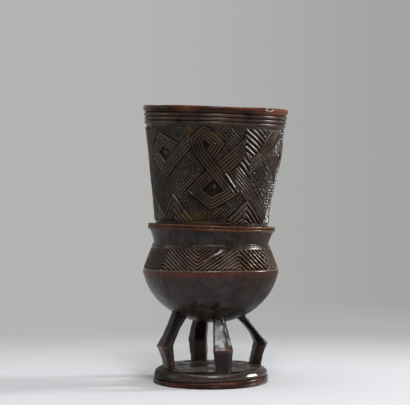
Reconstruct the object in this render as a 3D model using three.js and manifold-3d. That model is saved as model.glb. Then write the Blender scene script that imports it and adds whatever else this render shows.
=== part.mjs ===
// A palm wine cup carved from one block of wood: a flaring beaker that stands in the turned-out lip
// of a round pot, on four bent legs and a domed base. The carving is divided where one form ends and
// the next begins. Millimetres, +Z up, the front faces -Y, origin at the centre of the underside.

import * as THREE from "three";
import { mergeVertices } from "three/addons/utils/BufferGeometryUtils.js";
import Module from "manifold-3d";

const wasm = await Module();
wasm.setup();

// Gap left between two carved forms, and the fineness of the round ones
const seam = 0.3;
const roundSegments = 48;
const arcSteps = 3;

// Base
const flangeRadius = 42;
const flangeHeight = 4.6;
const flangeEdge = 1.5;
const discSetback = 0.8;
const discHeight = 7.4;
const discLowerEdge = 1;
const discShoulderWidth = 7.4;
const discShoulderHeight = 5.2;

// Bowl, below the sharp edge where the pot is widest
const legClearance = 31.2;
const edgeRadius = 49.5;
const bowlDepth = 38.3;
const bowlCentreRise = 6;

// Pot above that edge
const shoulderHeight = 16.3;
const shoulderTopRadius = 43.1;
const shoulderBulge = -0.1;
const neckHeight = 12.4;
const neckSetback = 0.7;
const neckTopRadius = 45;
const neckHollow = 0.9;
const collarHeight = 4.2;
const collarOverhang = 1.5;
const collarEdge = 0.9;

// Beaker
const wallHeight = 72.1;
const wallFootRadius = 41.2;
const wallTopRadius = 51;
const wallHollow = 0.35;
const beadNames = ["bead_lower", "bead_middle", "bead_upper"];
const beadHeight = 2.85;
const beadDepth = 1;
const beadFlare = 0.35;
const lipHeight = 5;
const lipFootOverhang = 0.7;
const lipOverhang = 1.9;
const lipEdge = 1.2;

// Strapwork on the beaker's wall: flat straps left standing above the ground that is cut away between
// them. A strap's face stands out from the plain wall by its rise, which is larger where it crosses
// over another. Turning points are degrees from the front and shares of the wall's height, and the
// design repeats round the cup.
const groundDepth = 0.7;
const groundStep = 0.5;
const wallFootBand = 1.8;
const wallTopGroove = 1.2;
const strapRepeats = 3;
const strapSink = 0.8;
const strapFacet = 9;
const knotWidth = 8.2;
const knotRise = 0.35;
const diamondWidth = 8.4;
const diamondRise = 0.1;
const crossingRise = 0.12;
const knotDiagonal = {
  width: knotWidth,
  rise: knotRise + crossingRise,
  path: [[8, 0.276], [17.5, 0.336], [-12.5, 0.73], [-15.5, 0.847], [-13, 0.875]],
};
const knotLower = {
  width: knotWidth,
  rise: knotRise,
  path: [[1, 0.549], [-17.6, 0.341], [-1, 0.219], [9.5, 0.285]],
};
const knotUpper = {
  width: knotWidth,
  rise: knotRise,
  path: [[-13.9, 0.865], [-8.5, 0.926], [2.5, 0.81], [-7, 0.632]],
};
const diamondArm = {
  width: diamondWidth,
  rise: diamondRise + crossingRise,
  path: [[-52, 0.593], [-47, 0.535], [-18, 0.857]],
};
const diamondUpper = {
  width: diamondWidth,
  rise: diamondRise,
  path: [[-30, 0.736], [-50, 0.845], [-62, 0.709], [-50.5, 0.576]],
};
const crossStrap = { width: 9.9, rise: 0.2, path: [[3, 0.527], [23.5, 0.757]] };
const longStrap = { width: 9.9, rise: 0.06, path: [[9, 0.623], [62, 0.032]] };
const barredField = { width: 16, rise: 0, path: [[36.5, 1], [36.5, 0.66], [26.5, 0.508]] };
const rightStrap = { width: 9, rise: 0.4, path: [[31, 0.555], [45, 0.712], [51, 0.827], [60, 0.965]] };
const leftPeak = { width: 12.6, rise: 0.15, path: [[-58, -0.123], [-40, 0.175], [-16, -0.117]] };
const rightPeak = { width: 14, rise: 0.25, path: [[12, -0.08], [35.5, 0.143], [62, -0.117]] };
const knot = [knotDiagonal, knotLower, knotUpper];
const diamond = [diamondArm, diamondUpper];
const field = [crossStrap, longStrap, barredField, rightStrap];
const peaks = [leftPeak, rightPeak];
const straps = [...knot, ...diamond, ...field, ...peaks];

// Hollow
const mouthWall = 3.5;
const wallThickness = 5.8;
const floorThickness = 13;

// Legs: each azimuth runs from the front towards the right, and no two legs are carved quite alike
const plainLeg = {
  footTurn: 0,
  footInset: 3.4,
  footDepth: 7.6,
  footWidth: 11.4,
  kneeReach: 4.6,
  kneeDepth: 10.6,
  hipRadius: 27.5,
  hipDepth: 12,
  hipWidth: 7.7,
  thighArch: 2.6,
};
const slimLeg = { footDepth: 7, kneeDepth: 7.6, hipRadius: 24.4, hipDepth: 10.9, thighArch: 3.6 };
const wideLeg = { footWidth: 13, hipWidth: 11 };
const shortFoot = {
  footInset: 5.2,
  footDepth: 6.4,
  kneeDepth: 8.9,
  hipRadius: 29.1,
  hipDepth: 13.8,
  thighArch: 2,
};
const legs = [
  { ...plainLeg, name: "leg_front", azimuth: 13, footTurn: 2.5 },
  { ...plainLeg, ...slimLeg, name: "leg_right", azimuth: 110 },
  { ...plainLeg, ...wideLeg, name: "leg_back", azimuth: 194.4 },
  { ...plainLeg, ...shortFoot, name: "leg_left", azimuth: 295 },
];
const shinHeight = 15.5;
const shinWaist = 0.8;
const kneeWidth = 14.8;
const thighHollow = 0.9;
const thighPlaces = [0.3, 0.6];
const outerFaceShare = 0.82;
const innerFaceShare = 0.6;
const widestPlace = 1 / 3;
const legEmbed = 2;

// Lean of the carving's axis, in degrees from upright
const potLeanBack = 2.3;
const rimLeanBack = -0.5;
const beakerLeanRight = 1.95;

// Heights of the creases, from the floor up
const discFoot = flangeHeight;
const baseTop = discFoot + discHeight;
const bowlBottom = baseTop + legClearance;
const edgeLevel = bowlBottom + bowlDepth;
const shoulderTop = edgeLevel + shoulderHeight;
const neckTop = shoulderTop + neckHeight;
const collarTop = neckTop + collarHeight;
const wallTop = collarTop + wallHeight;
const beadsTop = wallTop + beadNames.length * beadHeight;
const rimLevel = beadsTop + lipHeight;

// Radii that follow the form next to them
const discRadius = flangeRadius - discSetback;
const neckFootRadius = shoulderTopRadius - neckSetback;
const collarRadius = neckTopRadius + collarOverhang;
const lipFootRadius = wallTopRadius + lipFootOverhang;
const lipRadius = wallTopRadius + lipOverhang;
const mouthRadius = wallTopRadius - mouthWall;
const wellRadius = Math.min(wallFootRadius, neckFootRadius) - wallThickness;
const wellFloor = bowlBottom + floorThickness;

const upward = new THREE.Vector3(0, 0, 1);
const slopeOf = (degrees) => Math.tan(THREE.MathUtils.degToRad(degrees));

// Where the axis of the pot and beaker lies at a height, and how their level sections slope there.
function axisAt(level) {
  const pot = THREE.MathUtils.clamp(level, bowlBottom, collarTop) - bowlBottom;
  const turning = THREE.MathUtils.clamp(level, edgeLevel, collarTop) - edgeLevel;
  const beaker = Math.max(level - collarTop, 0);
  const backFrom = slopeOf(potLeanBack);
  const backTurn = (slopeOf(rimLeanBack) - backFrom) / (rimLevel - collarTop);
  const right = slopeOf(beakerLeanRight);
  const rightTurn = right / (collarTop - edgeLevel);
  return {
    x: (rightTurn * turning * turning) / 2 + right * beaker,
    y: backFrom * (pot + beaker) + (backTurn * beaker * beaker) / 2,
    slopeX: rightTurn * turning,
    slopeY: backFrom + backTurn * beaker,
  };
}

// Moves each point from the straight carving to the leaning one.
function lean(geometry) {
  const position = geometry.getAttribute("position");
  for (let i = 0; i < position.count; i += 1) {
    const x = position.getX(i);
    const y = position.getY(i);
    const z = position.getZ(i);
    const axis = axisAt(z);
    position.setXYZ(i, x + axis.x, y + axis.y, z - axis.slopeX * x - axis.slopeY * y);
  }
  return geometry;
}

// A round form from its profile of (radius, height) points, given from the underside outward.
function turned(profile) {
  const geometry = new THREE.LatheGeometry(profile, roundSegments);
  geometry.rotateX(Math.PI / 2);
  return geometry;
}

const point = (radius, height) => new THREE.Vector2(radius, height);

// Points of an elliptical arc in the profile plane, angles in degrees from the radial direction.
function arc(centre, radial, upright, from, to, steps = arcSteps) {
  return Array.from({ length: steps + 1 }, (_, i) => {
    const angle = THREE.MathUtils.degToRad(THREE.MathUtils.lerp(from, to, i / steps));
    return point(centre.x + radial * Math.cos(angle), centre.y + upright * Math.sin(angle));
  });
}

// Points up a side from one (radius, height) to another that swells by bulge halfway.
function side(foot, top, bulge, steps) {
  return Array.from({ length: steps + 1 }, (_, i) => {
    const t = i / steps;
    const swell = bulge * 4 * t * (1 - t);
    return point(THREE.MathUtils.lerp(foot.x, top.x, t) + swell, THREE.MathUtils.lerp(foot.y, top.y, t));
  });
}

// Radius of the hollow at a height above the bowl: straight in the pot, flaring in the beaker.
function hollowRadius(level) {
  const flare = THREE.MathUtils.clamp((level - collarTop) / (rimLevel - collarTop), 0, 1);
  return THREE.MathUtils.lerp(wellRadius, mouthRadius, flare);
}

// Closes a ring: its outer side from the foot up, then back down the wall of the hollow.
function ring(outer) {
  const foot = outer[0];
  const top = outer[outer.length - 1];
  return turned([
    ...outer,
    point(hollowRadius(top.y), top.y),
    point(hollowRadius(foot.y), foot.y),
    foot.clone(),
  ]);
}

function baseFlange() {
  const inner = flangeRadius - flangeEdge;
  return turned([
    point(0, 0),
    ...arc(point(inner, flangeEdge), flangeEdge, flangeEdge, -90, 0),
    ...arc(point(inner, flangeHeight - flangeEdge), flangeEdge, flangeEdge, 0, 90),
    point(0, flangeHeight),
  ]);
}

function baseDiscProfile(grown) {
  const lower = point(discRadius - discLowerEdge, discFoot + discLowerEdge);
  const upper = point(discRadius - discShoulderWidth, baseTop - discShoulderHeight);
  const edge = discLowerEdge + grown;
  return [
    point(0, discFoot - grown),
    ...arc(lower, edge, edge, -90, 0),
    ...arc(upper, discShoulderWidth + grown, discShoulderHeight + grown, 0, 90, 2 * arcSteps),
    point(0, baseTop + grown),
  ];
}

// The bowl's outline is part of an ellipse whose centre lies above the sharp edge.
const bowlHalfHeight = bowlDepth + bowlCentreRise;
const bowlHalfWidth = edgeRadius / Math.sqrt(1 - (bowlCentreRise / bowlHalfHeight) ** 2);
const bowlCentre = point(0, edgeLevel + bowlCentreRise);
const edgeAngle = THREE.MathUtils.radToDeg(Math.asin(bowlCentreRise / bowlHalfHeight));

const bowlOutline = (grown) =>
  arc(bowlCentre, bowlHalfWidth + grown, bowlHalfHeight + grown, -90, -edgeAngle, 4 * arcSteps);

const bowlLevelAt = (radius) =>
  bowlCentre.y - bowlHalfHeight * Math.sqrt(1 - (radius / bowlHalfWidth) ** 2);

function bowl() {
  const hollowDepth = edgeLevel - wellFloor;
  const hollow = arc(point(0, edgeLevel), wellRadius, hollowDepth, 0, -90, 2 * arcSteps);
  return turned([...bowlOutline(0), ...hollow]);
}

function chevronShoulder() {
  const foot = point(edgeRadius, edgeLevel + seam);
  return ring(side(foot, point(shoulderTopRadius, shoulderTop), shoulderBulge, arcSteps));
}

function neck() {
  const foot = point(neckFootRadius, shoulderTop + seam);
  return ring(side(foot, point(neckTopRadius, neckTop), -neckHollow, arcSteps));
}

function collar() {
  const foot = neckTop + seam;
  const inner = collarRadius - collarEdge;
  return ring([
    point(neckTopRadius, foot),
    ...arc(point(inner, foot + collarEdge), collarEdge, collarEdge, -45, 0, 2),
    ...arc(point(inner, collarTop - collarEdge), collarEdge, collarEdge, 0, 90),
  ]);
}

// Radius of the beaker's plain wall, before it is carved, at a height.
function wallRadius(level) {
  const t = (level - collarTop) / wallHeight;
  return THREE.MathUtils.lerp(wallFootRadius, wallTopRadius, t) - wallHollow * 4 * t * (1 - t);
}

function bead(index) {
  const foot = wallTop + index * beadHeight + seam;
  const top = wallTop + (index + 1) * beadHeight;
  const groove = wallTopRadius - beadDepth / 2 + index * beadFlare;
  const middle = point(groove, (foot + top) / 2);
  return ring(arc(middle, beadDepth, (top - foot) / 2, -90, 90, arcSteps + 1));
}

function drinkingLip() {
  const foot = beadsTop + seam;
  const outer = lipRadius - lipEdge;
  const inner = mouthRadius + lipEdge;
  const round = rimLevel - lipEdge;
  return turned([
    point(lipFootRadius, foot),
    ...arc(point(outer, round), lipEdge, lipEdge, 0, 90),
    ...arc(point(inner, round), lipEdge, lipEdge, 90, 180),
    point(hollowRadius(foot), foot),
    point(lipFootRadius, foot),
  ]);
}

// A closed solid for cutting and joining, from a geometry whose facets share their corners.
function solidOf(geometry) {
  const bare = geometry.clone();
  bare.deleteAttribute("normal");
  bare.deleteAttribute("uv");
  const merged = mergeVertices(bare);
  const corners = merged.getIndex().array;
  const facets = [];
  for (let i = 0; i < corners.length; i += 3) {
    const [a, b, c] = [corners[i], corners[i + 1], corners[i + 2]];
    if (a !== b && b !== c && c !== a) {
      facets.push(a, b, c);
    }
  }
  const vertProperties = new Float32Array(merged.getAttribute("position").array);
  const triVerts = new Uint32Array(facets);
  return new wasm.Manifold(new wasm.Mesh({ numProp: 3, vertProperties, triVerts }));
}

function geometryOf(solid) {
  const mesh = solid.getMesh();
  const geometry = new THREE.BufferGeometry();
  geometry.setAttribute("position", new THREE.BufferAttribute(mesh.vertProperties, 3));
  geometry.setIndex(new THREE.BufferAttribute(mesh.triVerts, 1));
  geometry.computeVertexNormals();
  return geometry;
}

// The level sections of a leg from below the disc's top to inside the bowl: the height, the turn
// round the cup from the knee's azimuth, the outer face's radius, the depth and the width.
function legSections(leg) {
  const kneeLevel = baseTop + shinHeight;
  const hipLevel = bowlLevelAt(leg.hipRadius) + legEmbed;
  const footOuter = discRadius - leg.footInset;
  const foot = {
    level: baseTop,
    turn: leg.footTurn,
    outer: footOuter,
    depth: leg.footDepth,
    width: leg.footWidth,
  };
  const knee = {
    level: kneeLevel,
    turn: 0,
    outer: footOuter + leg.kneeReach,
    depth: leg.kneeDepth,
    width: kneeWidth,
  };
  const hip = {
    level: hipLevel,
    turn: 0,
    outer: leg.hipRadius,
    depth: leg.hipDepth,
    width: leg.hipWidth,
  };
  const between = (from, to, t) => {
    const keys = Object.keys(from);
    return Object.fromEntries(keys.map((key) => [key, THREE.MathUtils.lerp(from[key], to[key], t)]));
  };
  const shin = between(foot, knee, 0.5);
  shin.outer -= shinWaist;
  shin.depth -= shinWaist;
  const thigh = thighPlaces.map((t) => {
    const part = between(knee, hip, t);
    const swing = 4 * t * (1 - t);
    part.outer -= thighHollow * swing;
    part.depth -= (thighHollow + leg.thighArch) * swing;
    return part;
  });
  return [{ ...foot, level: baseTop - legEmbed }, foot, shin, knee, ...thigh, hip];
}

// A closed form from rows with as many corners each, joined by flat facets.
function joined(rows) {
  const facets = [];
  const sides = rows[0].length;
  for (let row = 0; row < rows.length - 1; row += 1) {
    for (let i = 0; i < sides; i += 1) {
      const a = row * sides + i;
      const b = row * sides + ((i + 1) % sides);
      facets.push(a, b, b + sides, a, b + sides, a + sides);
    }
  }
  const top = (rows.length - 1) * sides;
  for (let i = 1; i < sides - 1; i += 1) {
    facets.push(0, i + 1, i);
    facets.push(top, top + i, top + i + 1);
  }
  const corners = rows.flat().flatMap((corner) => corner.toArray());
  const geometry = new THREE.BufferGeometry();
  geometry.setAttribute("position", new THREE.Float32BufferAttribute(corners, 3));
  geometry.setIndex(facets);
  return geometry;
}

// A leg as hewn: six-sided sections joined by flat facets, with the outer face at +X.
function legBlank(leg) {
  const rows = legSections(leg).map(({ level, turn, outer, depth, width }) => {
    const outerHalf = (width * outerFaceShare) / 2;
    const innerHalf = (width * innerFaceShare) / 2;
    const middle = outer - depth * widestPlace;
    const inner = outer - depth;
    const outline = [
      [outer, -outerHalf],
      [outer, outerHalf],
      [middle, width / 2],
      [inner, innerHalf],
      [inner, -innerHalf],
      [middle, -width / 2],
    ];
    return outline.map(([radial, across]) => {
      const corner = new THREE.Vector3(radial, across, level);
      return corner.applyAxisAngle(upward, THREE.MathUtils.degToRad(turn));
    });
  });
  return joined(rows);
}

// The blank turned to its place and cut off where it meets the disc and the bowl.
function legSolid(leg) {
  const blank = legBlank(leg);
  blank.rotateZ(THREE.MathUtils.degToRad(leg.azimuth - 90));
  const bowlRoom = solidOf(lean(turned([...bowlOutline(seam), point(0, edgeLevel)])));
  const discRoom = solidOf(turned(baseDiscProfile(seam)));
  return geometryOf(solidOf(blank).subtract(bowlRoom).subtract(discRoom));
}

// The strapwork is drawn on the wall unrolled: millimetres across at its mean radius, and heights.
const unrolledRadius = (wallFootRadius + wallTopRadius) / 2;

const drawn = ([degrees, share]) =>
  point(THREE.MathUtils.degToRad(degrees) * unrolledRadius, collarTop + share * wallHeight);

// The drawing's point on the cup, raised from the plain wall.
function onWall(place, raised) {
  const angle = place.x / unrolledRadius;
  const radius = wallRadius(place.y) + raised;
  return new THREE.Vector3(radius * Math.sin(angle), -radius * Math.cos(angle), place.y);
}

// The left and right corners of a strap at each of its turning points, mitred where it turns.
function strapEdges(path, width) {
  const across = path.slice(1).map((end, i) => {
    const along = end.clone().sub(path[i]).normalize();
    return point(-along.y, along.x);
  });
  return path.map((place, i) => {
    const before = across[Math.max(i - 1, 0)];
    const after = across[Math.min(i, across.length - 1)];
    const mitre = before.clone().add(after).normalize();
    mitre.multiplyScalar(width / 2 / mitre.dot(before));
    return { left: place.clone().add(mitre), right: place.clone().sub(mitre) };
  });
}

// A strap as one slab that follows its path and the wall's curve.
function strapSlab({ width, rise, path }) {
  const places = path.map(drawn);
  const edges = strapEdges(places, width);
  const lanes = Math.ceil(width / strapFacet);
  const inner = -groundDepth - strapSink;
  const across = (left, right) => {
    const face = Array.from({ length: lanes + 1 }, (_, lane) =>
      onWall(left.clone().lerp(right, lane / lanes), rise));
    return [...face, onWall(right, inner), onWall(left, inner)];
  };
  const rows = edges.slice(1).flatMap((end, i) => {
    const start = edges[i];
    const steps = Math.ceil(places[i].distanceTo(places[i + 1]) / strapFacet);
    return Array.from({ length: steps }, (_, step) => {
      const t = step / steps;
      return across(start.left.clone().lerp(end.left, t), start.right.clone().lerp(end.right, t));
    });
  });
  const last = edges[edges.length - 1];
  return joined([...rows, across(last.left, last.right)]);
}

// The wall with its ground cut back between a plain band at the foot and the groove at the top.
function wallGround() {
  const foot = collarTop + seam;
  const bandTop = collarTop + wallFootBand;
  const ground = Array.from({ length: 2 * arcSteps + 1 }, (_, i) => {
    const level = THREE.MathUtils.lerp(bandTop + groundStep, wallTop, i / (2 * arcSteps));
    return point(wallRadius(level) - groundDepth, level);
  });
  return ring([point(wallRadius(foot), foot), point(wallRadius(bandTop), bandTop), ...ground]);
}

// The height of the wall that the straps may take up.
function strapRoom() {
  const low = collarTop + wallFootBand;
  const high = wallTop - wallTopGroove;
  const reach = lipRadius + knotWidth;
  return turned([point(0, low), point(reach, low), point(reach, high), point(0, high)]);
}

function beakerWall() {
  const repeats = Array.from({ length: strapRepeats }, (_, i) => (i * 2 * Math.PI) / strapRepeats);
  const slabs = repeats.flatMap((turn) => straps.map((strap) => strapSlab(strap).rotateZ(turn)));
  const strapwork = slabs.map(solidOf).reduce((carved, slab) => carved.add(slab));
  return geometryOf(solidOf(wallGround()).add(strapwork.intersect(solidOf(strapRoom()))));
}

const group = new THREE.Group();
group.name = "palm_wine_cup";

function add(name, geometry, color, roughness) {
  const material = new THREE.MeshStandardMaterial({ color, roughness, metalness: 0 });
  const mesh = new THREE.Mesh(geometry, material);
  mesh.name = name;
  group.add(mesh);
}

add("base_flange", baseFlange(), 0x4a2c20, 0.42);
add("base_disc", turned(baseDiscProfile(0)), 0x2e2521, 0.4);
for (const leg of legs) {
  add(leg.name, legSolid(leg), 0x2a1d18, 0.42);
}
add("bowl", lean(bowl()), 0x2c2320, 0.38);
add("chevron_shoulder", lean(chevronShoulder()), 0x33251d, 0.48);
add("neck", lean(neck()), 0x2e2723, 0.4);
add("collar", lean(collar()), 0x472a1e, 0.42);
add("beaker_wall", lean(beakerWall()), 0x2b2019, 0.5);
beadNames.forEach((name, index) => {
  add(name, lean(bead(index)), 0x33251f, 0.45);
});
add("drinking_lip", lean(drinkingLip()), 0x40281d, 0.42);

export default group;
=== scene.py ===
import math

import bpy
import numpy as np
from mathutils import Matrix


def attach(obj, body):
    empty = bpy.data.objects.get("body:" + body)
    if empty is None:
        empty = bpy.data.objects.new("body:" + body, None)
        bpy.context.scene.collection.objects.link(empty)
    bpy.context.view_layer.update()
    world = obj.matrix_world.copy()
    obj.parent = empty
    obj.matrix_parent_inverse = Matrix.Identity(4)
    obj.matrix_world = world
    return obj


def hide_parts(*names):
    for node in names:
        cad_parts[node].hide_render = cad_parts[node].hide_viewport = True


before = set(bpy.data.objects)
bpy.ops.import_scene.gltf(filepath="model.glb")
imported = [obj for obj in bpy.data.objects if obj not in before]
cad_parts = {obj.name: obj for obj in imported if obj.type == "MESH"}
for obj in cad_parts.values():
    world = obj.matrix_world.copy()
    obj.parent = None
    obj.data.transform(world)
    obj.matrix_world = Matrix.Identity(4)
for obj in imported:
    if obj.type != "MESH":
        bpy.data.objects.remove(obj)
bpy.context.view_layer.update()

MM = 0.001

# Heights of the creases between the carved forms
FLANGE_TOP = 4.6
BASE_TOP = 12.0
BOWL_BOTTOM = 43.2
EDGE = 81.5
SHOULDER_TOP = 97.8
NECK_TOP = 110.2
COLLAR_TOP = 114.4
WALL_TOP = 186.5
BEADS_TOP = 195.05
RIM = 200.05
BEAD_HEIGHT = 2.85

# Radii and depths, and where the lip has its nick, in degrees from the front
FLANGE_RADIUS = 42.0
DISC_RADIUS = 41.2
EDGE_RADIUS = 49.5
SHOULDER_TOP_RADIUS = 43.1
NECK_TOP_RADIUS = 45.0
COLLAR_RADIUS = 46.5
WALL_FOOT_RADIUS = 41.2
WALL_TOP_RADIUS = 51.0
LIP_FOOT_RADIUS = 51.7
LIP_RADIUS = 52.9
LIP_EDGE = 1.2
NICK_AT = 46
MOUTH_RADIUS = 47.5
WELL_RADIUS = 35.4
WELL_FLOOR = BOWL_BOTTOM + 13
WALL_WAIST = 0.35

# The bowl is part of an ellipse whose centre lies this far above the sharp edge
CENTRE_RISE = 6
BOWL_CENTRE = EDGE + CENTRE_RISE
BOWL_HALF_HEIGHT = BOWL_CENTRE - BOWL_BOTTOM
BOWL_HALF_WIDTH = EDGE_RADIUS / math.sqrt(1 - (CENTRE_RISE / BOWL_HALF_HEIGHT) ** 2)

# Lean of the axis, in degrees from upright
POT_LEAN_BACK = 2.3
RIM_LEAN_BACK = -0.5
BEAKER_LEAN_RIGHT = 1.95

# Wear: how far round the carving counts, in passes of smoothing, and what depth counts in full
WEAR_REACH = 20
WEAR_DEPTH = 0.4

# Rows of random values that a drift repeats after
NET_ROWS = 64

# The carving is drawn on the wall as if it were unrolled at this many millimetres to a degree
UNROLLED = math.radians((WALL_FOOT_RADIUS + WALL_TOP_RADIUS) / 2)


# Shape tools

def unit(value):
    """The value, held between 0 and 1."""
    return np.clip(value, 0, 1)


def axis_at(height):
    """Place and slope of the cup's axis at a height."""
    pot = np.clip(height, BOWL_BOTTOM, COLLAR_TOP) - BOWL_BOTTOM
    turning = np.clip(height, EDGE, COLLAR_TOP) - EDGE
    beaker = np.maximum(height - COLLAR_TOP, 0)
    back = math.tan(math.radians(POT_LEAN_BACK))
    back_turn = (math.tan(math.radians(RIM_LEAN_BACK)) - back) / (RIM - COLLAR_TOP)
    right = math.tan(math.radians(BEAKER_LEAN_RIGHT))
    right_turn = right / (COLLAR_TOP - EDGE)
    x = right_turn * turning ** 2 / 2 + right * beaker
    y = back * (pot + beaker) + back_turn * beaker ** 2 / 2
    return x, y, right_turn * turning, back + back_turn * beaker


def lean(points):
    """Moves points from the straight carving to the leaning one."""
    x, y, z = points[..., 0], points[..., 1], points[..., 2]
    axis_x, axis_y, slope_x, slope_y = axis_at(z)
    return np.stack([x + axis_x, y + axis_y, z - slope_x * x - slope_y * y], -1)


def turns_of(columns):
    """Places round the cup as parts of a turn, from the back over the right hand of the front."""
    return np.arange(columns) / columns


def around(turns, radius, height):
    """Points on the upright carving; half a turn is the front, at -Y."""
    angle = (turns - 0.5) * 2 * math.pi
    parts = np.broadcast_arrays(radius * np.sin(angle), -radius * np.cos(angle), height)
    return np.stack(parts, -1)


def degrees_at(turns, height):
    """Degrees from the front towards the right, for each place of a grid."""
    return (turns - 0.5) * 360 + 0 * height


def rightward(turns):
    """From -1 on the cup's left to 1 on its right."""
    return np.sin((turns - 0.5) * 2 * math.pi)


def spread(profile, turns):
    """Radius and height of a profile's points, each as a grid that runs round."""
    return profile[:, :1] + 0 * turns, profile[:, 1:] + 0 * turns


def drift(turns, height, cells, step, seed):
    """Smooth random values from -1 to 1, `cells` of them to a turn and `step` mm apart in height."""
    net = np.random.default_rng(seed).uniform(-1, 1, (NET_ROWS, cells))
    x = np.mod(turns, 1) * cells
    y = np.mod(height / step, NET_ROWS)
    col, row = np.floor(x).astype(int), np.floor(y).astype(int)
    blend_x, blend_y = x - col, y - row
    blend_x = blend_x * blend_x * (3 - 2 * blend_x)
    blend_y = blend_y * blend_y * (3 - 2 * blend_y)
    left, right = col % cells, (col + 1) % cells
    levels = [net[at % NET_ROWS, left] * (1 - blend_x) + net[at % NET_ROWS, right] * blend_x
              for at in (row, row + 1)]
    return levels[0] * (1 - blend_y) + levels[1] * blend_y


def swell(value, start, full):
    """0 before start, 1 from full on, smooth between."""
    t = unit((value - start) / (full - start))
    return t * t * (3 - 2 * t)


def hump(value, low, high):
    """1 in the middle of low to high, falling smoothly to 0 at both."""
    t = unit((value - low) / (high - low))
    return (4 * t * (1 - t)) ** 1.5


def hand_drift(turns, height):
    """How far the knife strays from the true round, outwards."""
    stray = 0.28 * drift(turns, height, 5, 34, 11) + 0.14 * drift(turns, height, 13, 15, 12)
    beside = np.cos((turns - 0.735) * 2 * math.pi)
    right_side = unit(beside) ** 3
    stray = stray + right_side * (0.95 * hump(height, 133, 190) - 0.9 * hump(height, 113, 142))
    return stray * swell(height, 12, 50)


def to_right(turns, start=0.3, full=0.95):
    """1 on the cup's right side, 0 on its front, back and left."""
    return swell(rightward(turns), start, full)


def to_left(turns, start=0.35, full=0.95):
    return to_right(1 - turns, start, full)


def hand_sway(turns, height):
    """How far a crease strays from level, upwards."""
    sway = 0.3 * drift(turns, height, 4, 50, 21) + 0.12 * drift(turns, height, 9, 40, 22)
    return sway * swell(height, 12, 50)


def in_scene(name, data):
    """A new object in the scene."""
    thing = bpy.data.objects.new(name, data)
    bpy.context.scene.collection.objects.link(thing)
    return thing


def grid_mesh(name, points, maps, closed=False, start=None, end=None, sharp=()):
    """A mesh over rows of points that each run round. `closed` joins the last row to the first,
    start and end are the points that close an open one. Rows in `sharp` keep a crisp edge, and
    maps holds crest, cut, bare and dust values for the first rows; all others are 0."""
    rows, cols = points.shape[:2]
    strips = rows if closed else rows - 1
    row, col = np.meshgrid(np.arange(strips), np.arange(cols), indexing="ij")
    above, beside = (row + 1) % rows, (col + 1) % cols
    quads = np.stack([row * cols + col, row * cols + beside, above * cols + beside,
                      above * cols + col], -1).reshape(-1, 4)
    steps = np.linalg.norm(np.diff(points, axis=0, append=points[:1]), axis=2).mean(1)
    ends = [0 if p is None else np.linalg.norm(points[i] - p, axis=1).mean()
            for i, p in ((0, start), (-1, end))]
    length = steps[:strips].sum() + sum(ends)
    v = (ends[0] + np.concatenate([[0], np.cumsum(steps[:strips])])) / length
    u0, u1 = col / cols, (col + 1) / cols
    v0, v1 = v[row], v[row + 1]
    quad_uv = np.stack([np.stack(pair, -1) for pair in
                        ((u0, v0), (u1, v0), (u1, v1), (u0, v1))], 2).reshape(-1, 2)
    faces = quads.tolist()
    uv = [quad_uv]
    extra = []
    round_up = np.arange(cols)
    middle = (round_up + 0.5) / cols
    for point, first, level, tip in ((start, 0, v[0], 0.0), (end, (rows - 1) * cols, v[-1], 1.0)):
        if point is None:
            continue
        centre = rows * cols + len(extra)
        extra.append(point)
        a, b = first + round_up, first + (round_up + 1) % cols
        ua, ub = round_up / cols, (round_up + 1) / cols
        if tip == 0.0:
            a, b, ua, ub = b, a, ub, ua
        faces += np.stack([np.full(cols, centre), a, b], -1).tolist()
        same = np.full(cols, level)
        uv.append(np.stack([np.stack([middle, np.full(cols, tip)], -1), np.stack([ua, same], -1),
                            np.stack([ub, same], -1)], 1).reshape(-1, 2))
    flat = points.reshape(-1, 3)
    if extra:
        flat = np.concatenate([flat, np.array(extra)])
    mesh = bpy.data.meshes.new(name)
    mesh.from_pydata((flat * MM).tolist(), [], faces)
    mesh.uv_layers.new(name="OFBake").data.foreach_set("uv", np.concatenate(uv).ravel())
    mesh.polygons.foreach_set("use_smooth", np.ones(len(faces), bool))
    pairs = np.empty(len(mesh.edges) * 2, np.int32)
    mesh.edges.foreach_get("vertices", pairs)
    pairs = pairs.reshape(-1, 2)
    of_row = pairs // cols
    crisp = (of_row[:, 0] == of_row[:, 1]) & np.isin(of_row[:, 0], [s % rows for s in sharp])
    mesh.edges.foreach_set("use_edge_sharp", crisp)
    for key in ("crest", "cut", "bare", "dust"):
        values = np.zeros(len(flat), np.float32)
        if key in maps:
            values[:maps[key].size] = maps[key].ravel()
        mesh.attributes.new(key, "FLOAT", "POINT").data.foreach_set("value", values)
    mesh.update()
    return in_scene(name, mesh)


def settle(piece, node, material):
    """Puts a finished piece in the place of its CAD node."""
    piece.data.materials.append(material)
    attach(piece, "root")
    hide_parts(node)


def between(low, high, steps):
    """Evenly spaced profile points from low up to, but without, high."""
    t = np.arange(steps)[:, None] / steps
    return np.array(low) * (1 - t) + np.array(high) * t


def rounding(centre, radial, upright, start, stop, steps):
    """Profile points on part of an ellipse, in degrees from level, without the last."""
    angle = np.radians(start + (stop - start) * np.arange(steps) / steps)
    return np.stack([centre[0] + radial * np.cos(angle), centre[1] + upright * np.sin(angle)], -1)


def softened(values, passes):
    """The same grid with each value drawn to its neighbours, round and along."""
    for _ in range(passes):
        values = values / 2 + (np.roll(values, 1, 1) + np.roll(values, -1, 1)) / 4
        padded = np.pad(values, ((1, 1), (0, 0)), mode="edge")
        values = values / 2 + (padded[2:] + padded[:-2]) / 4
    return values


def wear_maps(relief):
    """What stands proud of the carving round it, and what lies in its cuts, darkened as dirt and painted
    shade.
    """
    proud = (relief - softened(relief, WEAR_REACH)) / WEAR_DEPTH
    return unit(proud * 0.8 + 0.4), unit(-proud * 1.3)


def hollow_radius(height):
    flare = unit((height - COLLAR_TOP) / (RIM - COLLAR_TOP))
    return WELL_RADIUS + (MOUTH_RADIUS - WELL_RADIUS) * flare


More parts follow.
